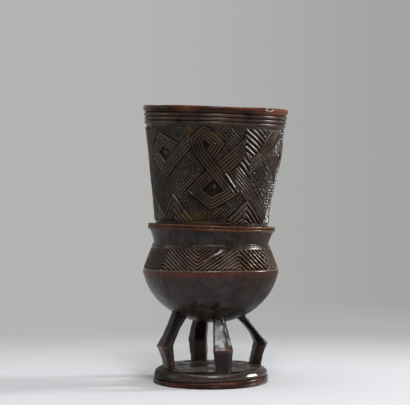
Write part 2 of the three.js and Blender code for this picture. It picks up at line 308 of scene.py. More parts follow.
def hollow_drift(turns, height):
    """Unevenness of the hollow: long shallow strokes of the gouge."""
    strokes = 0.22 * drift(turns, height, 26, 21, 31) + 0.1 * drift(turns, height, 60, 9, 32)
    return strokes + 0.25 * drift(turns, height, 5, 40, 33)


def hollow_rows(turns, heights):
    """Rows down the wall of the hollow, each as (radius, height) round the cup."""
    height = np.asarray(heights, float)[:, None] + 0 * turns
    return hollow_radius(height) - hollow_drift(turns, height), height + hand_sway(turns, height)


def carved_ring(name, outer, relief, steps_down, maps):
    """A ring of the cup: its outer side from the foot up, then down the wall of the hollow."""
    turns = turns_of(relief.shape[1])
    radius, height = spread(outer, turns)
    radius = radius + hand_drift(turns, height) + relief
    height = height + hand_sway(turns, height)
    levels = np.linspace(outer[-1, 1], outer[0, 1], steps_down + 1)
    inner_radius, inner_height = hollow_rows(turns, levels)
    radius = np.concatenate([radius, inner_radius])
    height = np.concatenate([height, inner_height])
    points = lean(around(turns, radius, height))
    count = len(outer)
    return grid_mesh(name, points, maps, closed=True, sharp=[0, count - 1, count, count + steps_down])


# The strapwork on the beaker, drawn on the unrolled wall

# Each strap: its turning points (degrees from the front, height), its width, how many ridges run
# along it, and for each stretch the level it lies at where straps cross. Some also have a profile
# for each stretch, the degrees within which they show, or the outline of the field they fill.
KNOT = dict(path=[(1, 154), (-17.6, 139), (-1, 130.2), (17.5, 138.6), (5, 150), (-4.5, 159),
                  (-12.5, 167), (-15.5, 175.5), (-8.5, 181.2), (2.5, 172.8), (-7, 160)],
            width=8.2, ridges=4, levels=[4, 4, 4, 6, 6, 6, 6, 5, 5, 3])
LEFT_DIAMOND = dict(path=[(-30, 167.5), (-50, 175.3), (-62, 165.5), (-47, 153), (-18, 176.2)],
                    width=8.4, ridges=4, levels=[1, 2, 4, 4])
CROSS_STRAP = dict(path=[(1.5, 151.2), (34, 177.3)], width=11, ridges=5, levels=[3],
                   reach=(-90, 26.5))
RIGHT_STRAP = dict(path=[(24, 148.8), (45, 165.7), (51, 174), (60, 184)], width=9, ridges=4,
                   levels=[3, 3, 3], reach=(33, 90))
LONG_STRAP = dict(path=[(9, 159.3), (62, 116.7)], width=9.9, ridges=5, levels=[2], reach=(20, 90))
UPPER_BARS = dict(path=[(10, 189.6), (60, 159.6)], width=34.1, ridges=11, levels=[1],
                  profiles=["facets"],
                  corner=[(25.5, 187.5), (46, 187.5), (48, 172), (37, 161.5), (31, 163), (25.5, 171)])
LOWER_BARS = dict(path=[(10, 173), (50, 137)], width=16.5, ridges=5, levels=[1], profiles=["facets"],
                  corner=[(21.5, 160), (25, 166), (31, 166), (37, 159), (36, 148), (33, 144.5),
                          (21, 156)])
LEFT_PEAK = dict(path=[(-58, 105.5), (-40, 127), (-16, 106)], width=12.6, ridges=4,
                 levels=[2, 2], profiles=["round", "round"])
RIGHT_PEAK = dict(path=[(10, 106.5), (35.5, 124.7), (62, 106)], width=14, ridges=4,
                  levels=[3, 3], profiles=["round", "facets"], reach=(16, 90))
KNOT_EDGE = dict(path=[(9.8, 152.5), (24.5, 138.5)], width=2.8, ridges=1, levels=[7], profiles=["wedge"])
STRAPS = [KNOT, LEFT_DIAMOND, CROSS_STRAP, RIGHT_STRAP, LONG_STRAP, UPPER_BARS, LOWER_BARS, LEFT_PEAK,
          RIGHT_PEAK, KNOT_EDGE]
TOP_LEVEL = 7

# Across one ridge, from its lower to its upper edge: how the height runs from the cut to the top
PROFILES = {
    "plump": ([0, 0.06, 0.14, 0.26, 0.5, 0.74, 0.86, 0.94, 1],
              [0, 0.35, 0.65, 0.88, 1, 0.88, 0.65, 0.35, 0]),
    "round": ([0, 0.1, 0.24, 0.5, 0.76, 0.9, 1], [0, 0.32, 0.7, 1, 0.7, 0.32, 0]),
    "wedge": ([0, 0.2, 0.38, 0.5, 1], [0, 0.8, 1, 0.95, 0.1]),
    "facets": ([0, 0.1, 0.3, 0.38, 0.5, 0.62, 0.74, 0.84, 0.92, 1],
               [0, 0, 0.92, 1, 0.96, 0.85, 0.7, 0.5, 0, 0]),
}

# Plain sunk fields inside the figures, and the small bosses left standing in them, each with its
# place and half its width
SUNK = [[(-11.5, 141), (-1, 150), (8.5, 138.5), (-1.5, 134)],
        [(-56.5, 165.5), (-49, 171), (-38, 166), (-47, 158.5)],
        [(-10.5, 177.5), (-8, 179), (-3.5, 173.5), (-6.5, 168.5)]]
BOSSES = [(1.5, 142.5, 2.6), (-46.5, 166, 3.0), (-7.5, 175.5, 1.2)]

# Spacing of the lozenges, and how high the carving's parts stand or lie, from the plain surface
PITCH = 1.95
COARSE_PITCH = 2.8
GROUND_TOP = -0.05
GROUND_CUT = -1.25
RIDGE_TOP = 0.35
RIDGE_CUT = -0.95
RANK_RISE = 0.06
SUNK_RIM = -0.45
SUNK_DROP = 0.65
BOSS_FOOT = -1.1
BOSS_RISE = 1.5

# The cut along both edges of a strap: how far it reaches, the width of its slope, its extra depth
EDGE_REACH = 0.35
EDGE_SLOPE = 0.45
EDGE_DEEPER = 0.12

# The figures come round again after this many degrees, counted from this far left of the front
REPEAT = 120.0
REPEAT_FROM = 65

# Below this value of the chips' drift the carving is whole
CHIPS_FROM = 0.72


def ridged(distance, width, ridges, profile):
    """Height across a strap that the knife has cut into ridges."""
    phase = (distance / width + 0.5) * ridges
    crest = np.interp(phase - np.floor(phase), *PROFILES[profile])
    return RIDGE_CUT + (RIDGE_TOP - RIDGE_CUT) * crest


def corner_inside(across, up, polygon):
    """How far inside a convex outline each place lies, in millimetres."""
    points = [(a * UNROLLED, h) for a, h in polygon]
    area = sum(p[0] * q[1] - q[0] * p[1] for p, q in zip(points, points[1:] + points[:1]))
    inside = np.full(across.shape, 1e9)
    for p, q in zip(points, points[1:] + points[:1]):
        edge = np.array(q) - np.array(p)
        edge = edge / np.linalg.norm(edge) * (1 if area > 0 else -1)
        inside = np.minimum(inside, edge[0] * (up - p[1]) - edge[1] * (across - p[0]))
    return inside


def cut_strap(relief, level, across, up, strap):
    """Lays one strap over what its stretches cross, with a cut along both of its edges."""
    path = np.array([(a * UNROLLED, h) for a, h in strap["path"]])
    ways = np.diff(path, axis=0)
    ways /= np.linalg.norm(ways, axis=1)[:, None]
    half = strap["width"] / 2
    low, high = strap.get("reach", (-180, 180))
    profiles = strap.get("profiles", ["plump"] * len(ways))
    for i, (way, rank) in enumerate(zip(ways, strap["levels"])):
        x, y = across - path[i, 0], up - path[i, 1]
        x_end, y_end = across - path[i + 1, 0], up - path[i + 1, 1]
        before = ways[i - 1] + way if i else way
        after = ways[i + 1] + way if i + 1 < len(ways) else way
        here = (x * before[0] + y * before[1] >= 0) & (x_end * after[0] + y_end * after[1] <= 0)
        distance = way[0] * y - way[1] * x
        here &= (np.abs(distance) < half + EDGE_REACH) & (rank >= level)
        here &= (across > low * UNROLLED) & (across < high * UNROLLED)
        if "corner" in strap:
            here &= corner_inside(across, up, strap["corner"]) > 0
        height = ridged(distance, strap["width"], strap["ridges"], profiles[i])
        edge = (half - np.abs(distance)) / EDGE_SLOPE
        cut = RIDGE_CUT - EDGE_DEEPER + (height - RIDGE_CUT) * unit(edge)
        height = np.where(edge < 1, cut, height)
        relief[here] = height[here] + RANK_RISE * (rank - 2)
        level[here] = rank


def lozenge_ground(across, up, pitch):
    """The ground between the straps, cut crosswise into small pointed lozenges."""
    crests = []
    for direction in (1, -1):
        phase = (across * direction + up) / math.sqrt(2) / pitch
        crests.append(1 - np.abs(2 * (phase - np.floor(phase)) - 1))
    return GROUND_CUT + (GROUND_TOP - GROUND_CUT) * np.minimum(*crests) ** 0.65


def wall_relief(turns, height):
    """The carving on the beaker's wall as height above its plain surface, then where its straps
    and its sunk fields lie."""
    angle = degrees_at(turns, height)
    up = height + 0 * turns
    stray = 0.25 + 0.55 * swell(np.abs(angle), 75, 120)
    across = np.mod(angle + REPEAT_FROM, REPEAT) - REPEAT_FROM
    across = across * UNROLLED + stray * drift(turns, height, 30, 11, 41)
    up = up + stray * drift(turns, height, 26, 13, 42)
    coarse = swell(angle, 36, 41) * (1 - swell(angle, 80, 90))
    relief = lozenge_ground(across, up, PITCH) * (1 - coarse)
    relief = relief + lozenge_ground(across, up, COARSE_PITCH) * coarse
    relief = relief + (0.1 + 0.2 * coarse) * drift(turns, height, 90, 3, 43) + 0.25 * coarse
    level = np.zeros(relief.shape, int)
    sunk = np.zeros(relief.shape, bool)
    for polygon in SUNK:
        inside = corner_inside(across, up, polygon)
        sunk |= inside > 0
        relief = np.where(inside > 0, SUNK_RIM - SUNK_DROP * swell(inside, 0, 1.5), relief)
    for a, h, size in BOSSES:
        boss = (np.abs(across - a * UNROLLED) + np.abs(up - h)) / size
        relief = np.where(boss < 1, BOSS_FOOT + BOSS_RISE * np.maximum(1 - boss ** 2, 0), relief)
        sunk &= boss >= 1
    for rank in range(1, TOP_LEVEL + 1):
        for shift in (-REPEAT, 0, REPEAT):
            for strap in STRAPS:
                if rank in strap["levels"]:
                    only = [r if r == rank else -1 for r in strap["levels"]]
                    cut_strap(relief, level, across + shift * UNROLLED, up, {**strap, "levels": only})
    relief = relief + 0.1 * drift(turns, height, 40, 7, 44) + 0.08 * drift(turns, height, 150, 2.3, 45)
    top = swell(height, WALL_TOP - 2.6, WALL_TOP - 1.3)
    plain_top = -0.75 + 0.35 * swell(height, WALL_TOP - 0.9, WALL_TOP)
    relief = relief * (1 - top) + top * plain_top
    foot = 1 - swell(height, COLLAR_TOP + 1.6, COLLAR_TOP + 3)
    plain_foot = -0.25
    return relief * (1 - foot) + foot * plain_foot, level > 0, sunk & (level == 0)


# Where dried residue sits in the carving: degrees from the front, height, spread in degrees and mm
RESIDUE = [(-21, 119.5, 13, 6), (-22, 182, 4, 5), (2, 178, 5, 6), (-12, 115.5, 22, 2), (150, 119, 25, 3)]


def residue_map(turns, height):
    angle = degrees_at(turns, height)
    mask = 0 * angle
    for place, level, wide, tall in RESIDUE:
        mask = np.maximum(mask, np.exp(-((angle - place) / wide) ** 2 - ((height - level) / tall) ** 2))
    return unit(1.3 * mask - 0.35 + 0.4 * mask * drift(turns, height, 60, 3, 46))


def chipped(turns, height, relief):
    """Small losses along the standing edges of the carving."""
    loss = drift(turns, height, 70, 4.5, 51) + 0.5 * drift(turns, height, 150, 2, 52)
    return relief - 0.5 * swell(loss, CHIPS_FROM, CHIPS_FROM + 0.5) * (relief > -0.4)


# The zigzags on the pot's shoulder

# Degrees from the front, and how far the ridges have risen there: valleys and peaks in turn
ZIGZAG = [(-154, 0), (-118, 18), (-82, 0), (-46, 18), (-10, 0), (26, 19.5), (58, -5.5), (97, 19),
          (134, 0), (170, 18), (206, 0)]
ZIGZAG_PITCH = 2.45

# The steep bars to the right: from and to which degrees, their pitch and the shape of one
BARS = (26, 97)
BAR_PITCH = 3.9
BAR_PROFILE = ([0, 0.16, 0.34, 0.44, 0.66, 0.74, 0.94, 1], [0, 0, 0.82, 0.94, 1, 0.8, 0, 0])

# A flat that the knife left across the steep bars: its middle and half its width in degrees
FLAT_MIDDLE = 46
FLAT_REACH = 9

# The broad strap in the middle of the zigzags: its degrees, and its levels before the ridges rise
BROAD = (-6, 20)
BROAD_LOW = 83.1
BROAD_HIGH = 87.4
BROAD_MIDDLE = (BROAD_LOW + BROAD_HIGH) / 2


def shoulder_relief(turns, height):
    angle = degrees_at(turns, height)
    stray = 0.3 * drift(turns, height, 26, 9, 61)
    places, rises = zip(*ZIGZAG)
    wrapped = np.where(angle < places[0], angle + 360, angle)
    rise = np.interp(wrapped + 2 * drift(turns, height, 20, 12, 62), places, rises)
    across = height - rise + stray
    coarse = (angle > BARS[0]) & (angle < BARS[1])
    phase = across / np.where(coarse, BAR_PITCH, ZIGZAG_PITCH)
    phase = phase - np.floor(phase)
    crest = 1 - np.abs(2 * phase - 1)
    bars = np.interp(phase, *BAR_PROFILE)
    ridges = np.where(coarse, bars, np.sin(crest * math.pi / 2) ** 0.7)
    faint = hump(angle, 6, 26) * (across < 83)
    relief = -1.2 + 1.45 * ridges * (1 - 0.6 * faint) + 0.2 * faint
    strap = (across > BROAD_LOW) & (across < BROAD_HIGH) & (angle > BROAD[0]) & (angle < BROAD[1])
    from_middle = across - BROAD_MIDDLE
    rounded = unit(1 - (2 * from_middle / (BROAD_HIGH - BROAD_LOW)) ** 4)
    crown = 1.4 * rounded - np.clip(0.05 + 0.013 * angle, 0.02, 0.22) * from_middle
    relief = np.where(strap, crown - 1.0, relief)
    turned = np.radians(np.clip(angle - FLAT_MIDDLE, -40, 40))
    flat = EDGE_RADIUS * (math.cos(math.radians(FLAT_REACH)) / np.cos(turned) - 1)
    flat = flat + 0.05 * (height - (EDGE + SHOULDER_TOP) / 2) + 0.14 * drift(turns, height, 64, 4.4, 64)
    relief = relief + coarse * np.clip(flat, -0.8, 0.1)
    relief = softened(chipped(turns, height, relief), 1)
    foot = 1 - swell(height, EDGE + 0.9, EDGE + 2.0)
    top = swell(height, SHOULDER_TOP - 0.9, SHOULDER_TOP - 0.1)
    line = -0.5 * hump(height, EDGE + 0.9, EDGE + 2.4)
    return (relief * (1 - foot) + line) * (1 - top) + top * 0.15


# Shader nodes, and the groups of them that the woods share

def feed(socket, value):
    """Sets an input to a number or colour, or joins another node's output to it."""
    if isinstance(value, bpy.types.NodeSocket):
        socket.id_data.links.new(value, socket)
    else:
        socket.default_value = value


def tree_of(*values):
    """The node tree that the first output among some values belongs to."""
    return next(value.id_data for value in values if isinstance(value, bpy.types.NodeSocket))


def add_node(tree, kind, settings=None, **inputs):
    """A node with its settings; its inputs go by name, with _ for a blank, or by number, as in i0."""
    node = tree.nodes.new("ShaderNode" + kind)
    for key, value in (settings or {}).items():
        setattr(node, key, value)
    for key, value in inputs.items():
        numbered = key[0] == "i" and key[1:].isdigit()
        feed(node.inputs[int(key[1:]) if numbered else key.replace("_", " ")], value)
    return node


def new_group(name, inputs, outputs, kind="NodeSocketFloat"):
    """A group with named sockets; returns it, the values it is given and its output node."""
    group = bpy.data.node_groups.new(name, "ShaderNodeTree")
    for label in inputs:
        socket = group.interface.new_socket(name=label, in_out="INPUT", socket_type="NodeSocketFloat")
        socket.default_value = 0
    for label in outputs:
        group.interface.new_socket(name=label, in_out="OUTPUT", socket_type=kind)
    return group, group.nodes.new("NodeGroupInput").outputs, group.nodes.new("NodeGroupOutput")


def give(result, **values):
    """Joins a group's results to its output node."""
    for key, value in values.items():
        result.id_data.links.new(value, result.inputs[key])


def math_node(operation, a, b, clamp=False):
    settings = {"operation": operation, "use_clamp": clamp}
    return add_node(tree_of(a, b), "Math", settings, i0=a, i1=b).outputs[0]


def times(a, b, clamp=False):
    return math_node("MULTIPLY", a, b, clamp)


def plus(a, b, clamp=False):
    return math_node("ADD", a, b, clamp)


def vector_math(operation, a, **inputs):
    return add_node(tree_of(a), "VectorMath", {"operation": operation}, i0=a, **inputs).outputs


def map_range(value, low, high, out_low=0.0, out_high=1.0):
    return add_node(tree_of(value), "MapRange", {"interpolation_type": "SMOOTHSTEP"}, Value=value,
                    From_Min=low, From_Max=high, To_Min=out_low, To_Max=out_high).outputs["Result"]


def mix_color(factor, a, b, mode="MIX"):
    settings = {"data_type": "RGBA", "blend_type": mode}
    return add_node(tree_of(factor, a, b), "Mix", settings, i0=factor, i6=a, i7=b).outputs[2]


def object_place(tree):
    return add_node(tree, "TexCoord").outputs["Object"]


def millimetres(tree):
    """Object coordinates in millimetres."""
    return vector_math("SCALE", object_place(tree), Scale=1 / MM)[0]


def noise(place, scale, detail, roughness):
    return add_node(tree_of(place), "TexNoise", Vector=place, Scale=scale, Detail=detail,
                    Roughness=roughness).outputs["Fac"]


def stretched(place, scale):
    return add_node(tree_of(place), "Mapping", Vector=place, Scale=scale).outputs["Vector"]


def wood_grain_group():
    """Grain that runs up the block, its pores, and the slow mottling and haze of the patina."""
    group, _, result = new_group("wood_grain", [], ["Streaks", "Mottle", "Pores", "Haze"])
    place = millimetres(group)
    streaks = noise(stretched(place, (1.1, 1.1, 0.11)), 0.55, 5.0, 0.6)
    mottle = noise(stretched(place, (1, 1, 0.75)), 0.09, 4.0, 0.6)
    pores = noise(stretched(place, (3.2, 3.2, 0.35)), 0.9, 2.0, 0.5)
    cloud = noise(stretched(place, (1, 1, 0.7)), 0.21, 5.0, 0.65)
    give(result,
         Streaks=map_range(streaks, 0.3, 0.7),
         Mottle=map_range(mottle, 0.34, 0.66),
         Pores=map_range(pores, 0.28, 0.5),
         Haze=map_range(cloud, 0.4, 0.66))
    return group


def wear_dirt_and_shade_group():
    """Wear on what stands proud, dirt with painted shade in what lies low and on the shaded sides, and dried
    residue, all broken up.
    """
    group, given, result = new_group("wear_dirt_and_shade", ["Crest", "Cut", "Bare", "Rubbed"],
                                     ["Worn", "Dirt", "Residue"])
    place = millimetres(group)
    broad = noise(place, 0.05, 3.0, 0.55)
    fine = noise(place, 0.45, 4.0, 0.65)
    patch = noise(place, 0.075, 3.0, 0.6)
    crest = times(given["Crest"], times(map_range(broad, 0.35, 0.7), given["Rubbed"]))
    bare = times(given["Bare"], map_range(fine, 0.3, 0.62, 0.35, 1.0))
    worn = math_node("MAXIMUM", crest, bare)
    give(result,
         Worn=times(worn, map_range(fine, 0.25, 0.6, 0.5, 1.0), True),
         Dirt=times(given["Cut"], map_range(fine, 0.2, 0.55, 0.6, 1.0), True),
         Residue=times(map_range(patch, 0.55, 0.72), map_range(fine, 0.35, 0.6)))
    return group


def knife_group():
    """Low facets left by the knife and the rubbing of later use, as a height."""
    group, _, result = new_group("knife_marks", [], ["Height"])
    place = millimetres(group)
    warp = noise(place, 0.08, 2.0, 0.5)
    moved = vector_math("ADD", stretched(place, (1, 1, 0.6)), i1=warp)[0]
    facets = add_node(group, "TexVoronoi", {"feature": "SMOOTH_F1"}, Vector=moved, Scale=0.12)
    fine = noise(place, 0.9, 4.0, 0.6)
    give(result, Height=plus(times(facets.outputs["Distance"], 0.8), times(fine, 0.05)))
    return group


GRAIN = wood_grain_group()
WEAR_DIRT_AND_SHADE = wear_dirt_and_shade_group()
KNIFE = knife_group()


def use_group(tree, group, **values):
    return add_node(tree, "Group", {"node_tree": group}, **values).outputs


def attribute(tree, name):
    return add_node(tree, "Attribute", {"attribute_name": name}).outputs["Fac"]


def rgb(red, green, blue):
    """A linear colour from one written as seen, 0 to 255."""
    parts = [c / 255 for c in (red, green, blue)]
    return tuple(c / 12.92 if c <= 0.04045 else ((c + 0.055) / 1.055) ** 2.4 for c in parts) + (1.0,)


def new_material(name):
    material = bpy.data.materials.new(name)
    material.use_nodes = True
    tree = material.node_tree
    return material, tree, tree.nodes["Principled BSDF"]


HAZE = rgb(92, 84, 80)
# Near black of the dirt and painted shade in cuts, grooves and shaded sides
DIRT_AND_SHADE = rgb(7, 5, 3)
CRUST = rgb(84, 64, 28)
STREAK = (0.4, 0.36, 0.34, 1.0)

# How much of each shows in the colour, and what it adds to the roughness or takes from the gloss
STREAK_COVERS = 0.6
DIRT_AND_SHADE_COVERS = 0.9
HAZE_DULLS = 0.2
DUST_DULLS = 0.6
DIRT_AND_SHADE_KILLS_GLOSS = 0.95
PORE_DEPTH = 0.02


def wood(name, dark, warm, worn, rubbed=0.5, polish=0.22, dull=0.4, residue=0.0, marks=0.5, shine=0.24,
         haze=0.0, worn_dull=-0.04):
    """Patinated wood: a dark body with warmer mottling, worn where it stands proud, darkened and dulled by
    dirt and painted shade in its cuts and on its shaded sides. Polish and dull are the roughness of clean
    wood and of wood under dirt and painted shade."""
    material, tree, shader = new_material(name)
    grain = use_group(tree, GRAIN)
    use_and_shade = use_group(tree, WEAR_DIRT_AND_SHADE, Crest=attribute(tree, "crest"), Cut=attribute(tree, "cut"),
                     Bare=attribute(tree, "bare"), Rubbed=rubbed)
    knife = use_group(tree, KNIFE)
    dust = attribute(tree, "dust")
    body = mix_color(grain["Mottle"], rgb(*dark), rgb(*warm))
    streaked = mix_color(1.0, body, STREAK, "MULTIPLY")
    body = mix_color(times(grain["Streaks"], STREAK_COVERS), body, streaked)
    if haze:
        body = mix_color(times(grain["Haze"], plus(dust, haze), True), body, HAZE)
    body = mix_color(use_and_shade["Worn"], body, rgb(*worn))
    # Dirt with painted shade: the cut map darkens cuts, grooves and shaded sides towards near black.
    body = mix_color(times(use_and_shade["Dirt"], DIRT_AND_SHADE_COVERS), body, DIRT_AND_SHADE)
    if residue:
        crust = math_node("MAXIMUM", use_and_shade["Residue"], dust)
        body = mix_color(times(crust, residue), body, CRUST)
    rough = map_range(grain["Mottle"], 0.0, 1.0, polish, (polish + dull) / 2)
    dulling = ((use_and_shade["Dirt"], dull - polish), (use_and_shade["Worn"], worn_dull), (grain["Haze"], haze * HAZE_DULLS))
    for mask, more in dulling:
        rough = plus(rough, times(mask, more))
    rough = plus(rough, times(dust, DUST_DULLS), True)
    # The same mask takes the gloss away, as painted shade against reflections and as dirt.
    clean_and_unshaded = math_node("SUBTRACT", 1.0, times(use_and_shade["Dirt"], DIRT_AND_SHADE_KILLS_GLOSS))
    fresh = math_node("SUBTRACT", 1.0, times(use_and_shade["Worn"], max(worn_dull, 0) * 2))
    height = plus(times(knife["Height"], marks), times(grain["Pores"], PORE_DEPTH))
    bump = add_node(tree, "Bump", Height=height, Strength=0.5, Distance=MM)
    feed(shader.inputs["Base Color"], body)
    feed(shader.inputs["Roughness"], rough)
    feed(shader.inputs["Specular IOR Level"], times(times(clean_and_unshaded, fresh), shine))
    feed(shader.inputs["Normal"], bump.outputs["Normal"])
    return material


def flange_wood():
    return wood("flange_wood", (33, 20, 14), (60, 36, 26), (112, 66, 46), rubbed=0.9, polish=0.16,
                shine=0.15)


def disc_wood():
    return wood("disc_wood", (32, 23, 18), (56, 42, 34), (96, 60, 42), polish=0.12, dull=0.36,
                haze=0.12, shine=0.42)


def leg_wood():
    return wood("leg_wood", (22, 15, 10), (38, 25, 18), (108, 62, 42), rubbed=0.9, polish=0.18,
                marks=1.1, shine=0.34, haze=0.08)


def bowl_wood():
    return wood("bowl_wood", (29, 22, 19), (52, 39, 33), (98, 42, 27), polish=0.2, dull=0.42,
                shine=0.26, haze=0.26, worn_dull=0.06)


def shoulder_wood():
    return wood("shoulder_wood", (40, 26, 15), (72, 49, 31), (112, 86, 68), rubbed=0.85, residue=0.15,
                polish=0.14, marks=0.3, shine=0.31)


def neck_wood():
    return wood("neck_wood", (24, 18, 15), (48, 36, 30), (96, 57, 40), polish=0.16, dull=0.45,
                shine=0.2, haze=0.27, worn_dull=0.15)


def collar_wood():
    return wood("collar_wood", (38, 24, 16), (70, 43, 28), (112, 70, 46), rubbed=0.9, polish=0.17,
                shine=0.2)


def wall_wood():
    return wood("wall_wood", (32, 21, 14), (58, 41, 29), (90, 68, 54), rubbed=0.85, residue=0.85,
                polish=0.16, marks=0.3, shine=0.33)


def bead_wood():
    return wood("bead_wood", (30, 21, 16), (54, 38, 30), (102, 76, 62), rubbed=0.95, polish=0.14,
                shine=0.24)


def lip_wood():
    return wood("lip_wood", (36, 18, 10), (70, 36, 20), (124, 69, 40), rubbed=0.6, polish=0.12,
                shine=0.15)


# The pieces, from the floor up

def shaved(points, azimuth, elevation, depth):
    """Takes one flat off whatever reaches furthest that way, as a plane stroke of the knife does."""
    turn, rise = math.radians(azimuth), math.radians(elevation)
    way = np.array([math.sin(turn) * math.cos(rise), -math.cos(turn) * math.cos(rise), math.sin(rise)])
    reach = points @ way
    over = np.maximum(reach - reach.max() + depth, 0)
    return points - over[..., None] * way


def base_flange():
    turns = turns_of(300)
    edge, top = FLANGE_RADIUS, FLANGE_TOP
    profile = np.concatenate([
        between((6, 0), (edge - 1.6, 0), 8),
        rounding((edge - 1.6, 1.5), 1.6, 1.5, -90, 0, 6),
        between((edge, 1.5), (edge - 0.1, 3.1), 6),
        rounding((edge - 1.6, 3.1), 1.5, 1.5, 0, 90, 6),
        between((edge - 1.6, top), (6, top), 6),
    ])
    radius, height = spread(profile, turns)
    rim = swell(radius, 30, 40)
    radius = radius + rim * (0.2 * drift(turns, height, 7, 30, 71) + 0.12 * drift(turns, height, 24, 3, 72))
    radius = radius - 0.35 * rim * np.exp(-((height - 2.3) / 0.35) ** 2)
    right = rightward(turns)
    lift = swell(radius, 26, 41) * (1.3 * right * swell(height, 2, top)
                                    + 1.1 * swell(right, 0.45, 1.0) * (1 - swell(height, 0, 3)))
    height = np.maximum(height + lift, 0)
    bare = rim * (0.3 + 0.6 * drift(turns, height, 20, 2, 73)) * (radius > 40)
    # Painted shade: the cut map darkens the rim and takes its gloss towards the left.
    maps = {"bare": unit(bare), "cut": 0.35 * to_left(turns, 0.4, 0.9) * rim}
    points = around(turns, radius, height)
    return grid_mesh("flange", points, maps, start=(0, 0, 0), end=(0, 0, top))


# Flats on the disc's shoulder: degrees from the front, tilt upwards and depth
DISC_FLATS = [(46.4, 23, 0.3), (-42, 19, 0.16)]


def base_disc():
    turns = turns_of(300)
    edge, top = DISC_RADIUS, BASE_TOP
    profile = np.concatenate([
        between((6, FLANGE_TOP), (edge - 1.6, FLANGE_TOP), 4),
        rounding((edge - 1.2, FLANGE_TOP + 1.3), 1.2, 1.3, -90, 0, 6),
        rounding((edge - 7.6, top - 5.2), 7.6, 5.0, 0, 78, 18),
        between((edge - 6.0, top - 0.25), (edge - 9, top - 0.4), 4),
        between((edge - 9, top - 0.4), (2, top - 0.9), 14),
    ])
    radius, height = spread(profile, turns)
    rim = swell(radius, 24, 38)
    radius = radius + rim * (0.25 * drift(turns, height, 6, 30, 81) + 0.1 * drift(turns, height, 22, 4, 82))
    right = rightward(turns)
    low = 1 - swell(height, FLANGE_TOP + 0.5, top - 2)
    height = height + 1.3 * right * low * swell(radius, 26, 41)
    height = height + 0.22 * drift(turns, radius, 9, 9, 83) * (1 - low) * swell(radius, 5, 16)
    points = around(turns, radius, height)
    dust = (1 - swell(radius, edge - 7, edge - 4)) * swell(height, top - 2, top - 1)
    spots = drift(points[..., 0] / 110, points[..., 1] + 60, 20, 5.5, 84)
    dust = dust * unit(0.55 + 0.75 * spots)
    # Painted shade: the rim darkens and loses its gloss towards the left.
    painted_shade = 0.9 * to_left(turns, 0.4, 0.9) * rim
    maps = {"bare": 0.35 * rim * hump(height, 5, 9), "dust": dust, "cut": painted_shade}
    for azimuth, elevation, depth in DISC_FLATS:
        points = shaved(points, azimuth, elevation, depth)
    return grid_mesh("domed_disc", points, maps, start=(0, 0, FLANGE_TOP), end=(0, 0, top - 0.9))


def bowl_level(radius):
    return BOWL_CENTRE - BOWL_HALF_HEIGHT * math.sqrt(1 - (radius / BOWL_HALF_WIDTH) ** 2)


def bowl():
    turns = turns_of(360)
    edge_angle = -math.degrees(math.asin(CENTRE_RISE / BOWL_HALF_HEIGHT))
    outer = rounding((0, BOWL_CENTRE), BOWL_HALF_WIDTH, BOWL_HALF_HEIGHT, -88.5, edge_angle, 70)
    outer = np.concatenate([outer, [[EDGE_RADIUS, EDGE]]])
    radius, height = spread(outer, turns)
    facets = 0.24 * drift(turns, height, 22, 7.5, 91) + 0.1 * drift(turns, height, 40, 4, 92)
    radius = radius * (1 + (hand_drift(turns, height) + facets) / EDGE_RADIUS)
    height = height + hand_sway(turns, height)
    near_edge = swell(outer[:, 1:], EDGE - 6, EDGE - 1)
    beside = to_right(turns) * swell(height, BOWL_BOTTOM + 6, EDGE - 12)
    # Painted shade: the right side darkens and loses its gloss.
    painted_shade = unit(to_right(turns, 0.2, 0.8) * (0.72 + 0.3 * drift(turns, height, 20, 8, 95)))
    patches = 0.4 + 0.6 * drift(turns, height, 30, 5, 94)
    bare = unit(near_edge * (0.75 + 0.5 * drift(turns, height, 18, 5, 93)) + beside * patches)
    inner = rounding((0, EDGE), WELL_RADIUS, EDGE - WELL_FLOOR, 0, -88, 30)
    inner_height = inner[:, 1:] + 0 * turns
    inner_radius = inner[:, :1] - hollow_drift(turns, inner_height) * inner[:, :1] / WELL_RADIUS
    inner_height = inner_height + hand_sway(turns, inner_height)
    points = lean(around(turns, np.concatenate([radius, inner_radius]),
                         np.concatenate([height, inner_height])))
    start, end = (lean(np.array([0.0, 0.0, level])) for level in (BOWL_BOTTOM, WELL_FLOOR))
    count = len(outer)
    return grid_mesh("pot_bowl", points, {"bare": bare, "cut": painted_shade}, start=start, end=end,
                     sharp=[count - 1, count])


def chevron_shoulder():
    turns = turns_of(1040)
    height = np.linspace(EDGE, SHOULDER_TOP, 60)[:, None]
    t = (height - EDGE) / (SHOULDER_TOP - EDGE)
    radius = EDGE_RADIUS + (SHOULDER_TOP_RADIUS - EDGE_RADIUS) * t
    outer = np.concatenate([radius, height], 1)
    relief = shoulder_relief(turns, height)
    # The cut map darkens the cuts between the ridges with dirt and painted shade.
    crest, cut = wear_maps(relief)
    foot = 1 - swell(height, EDGE + 0.8, EDGE + 2.2)
    bare = foot * (0.55 + 0.5 * drift(turns, height, 40, 3, 63))
    maps = {"crest": crest, "cut": cut, "bare": unit(bare)}
    return carved_ring("zigzag_shoulder", outer, relief, 3, maps)


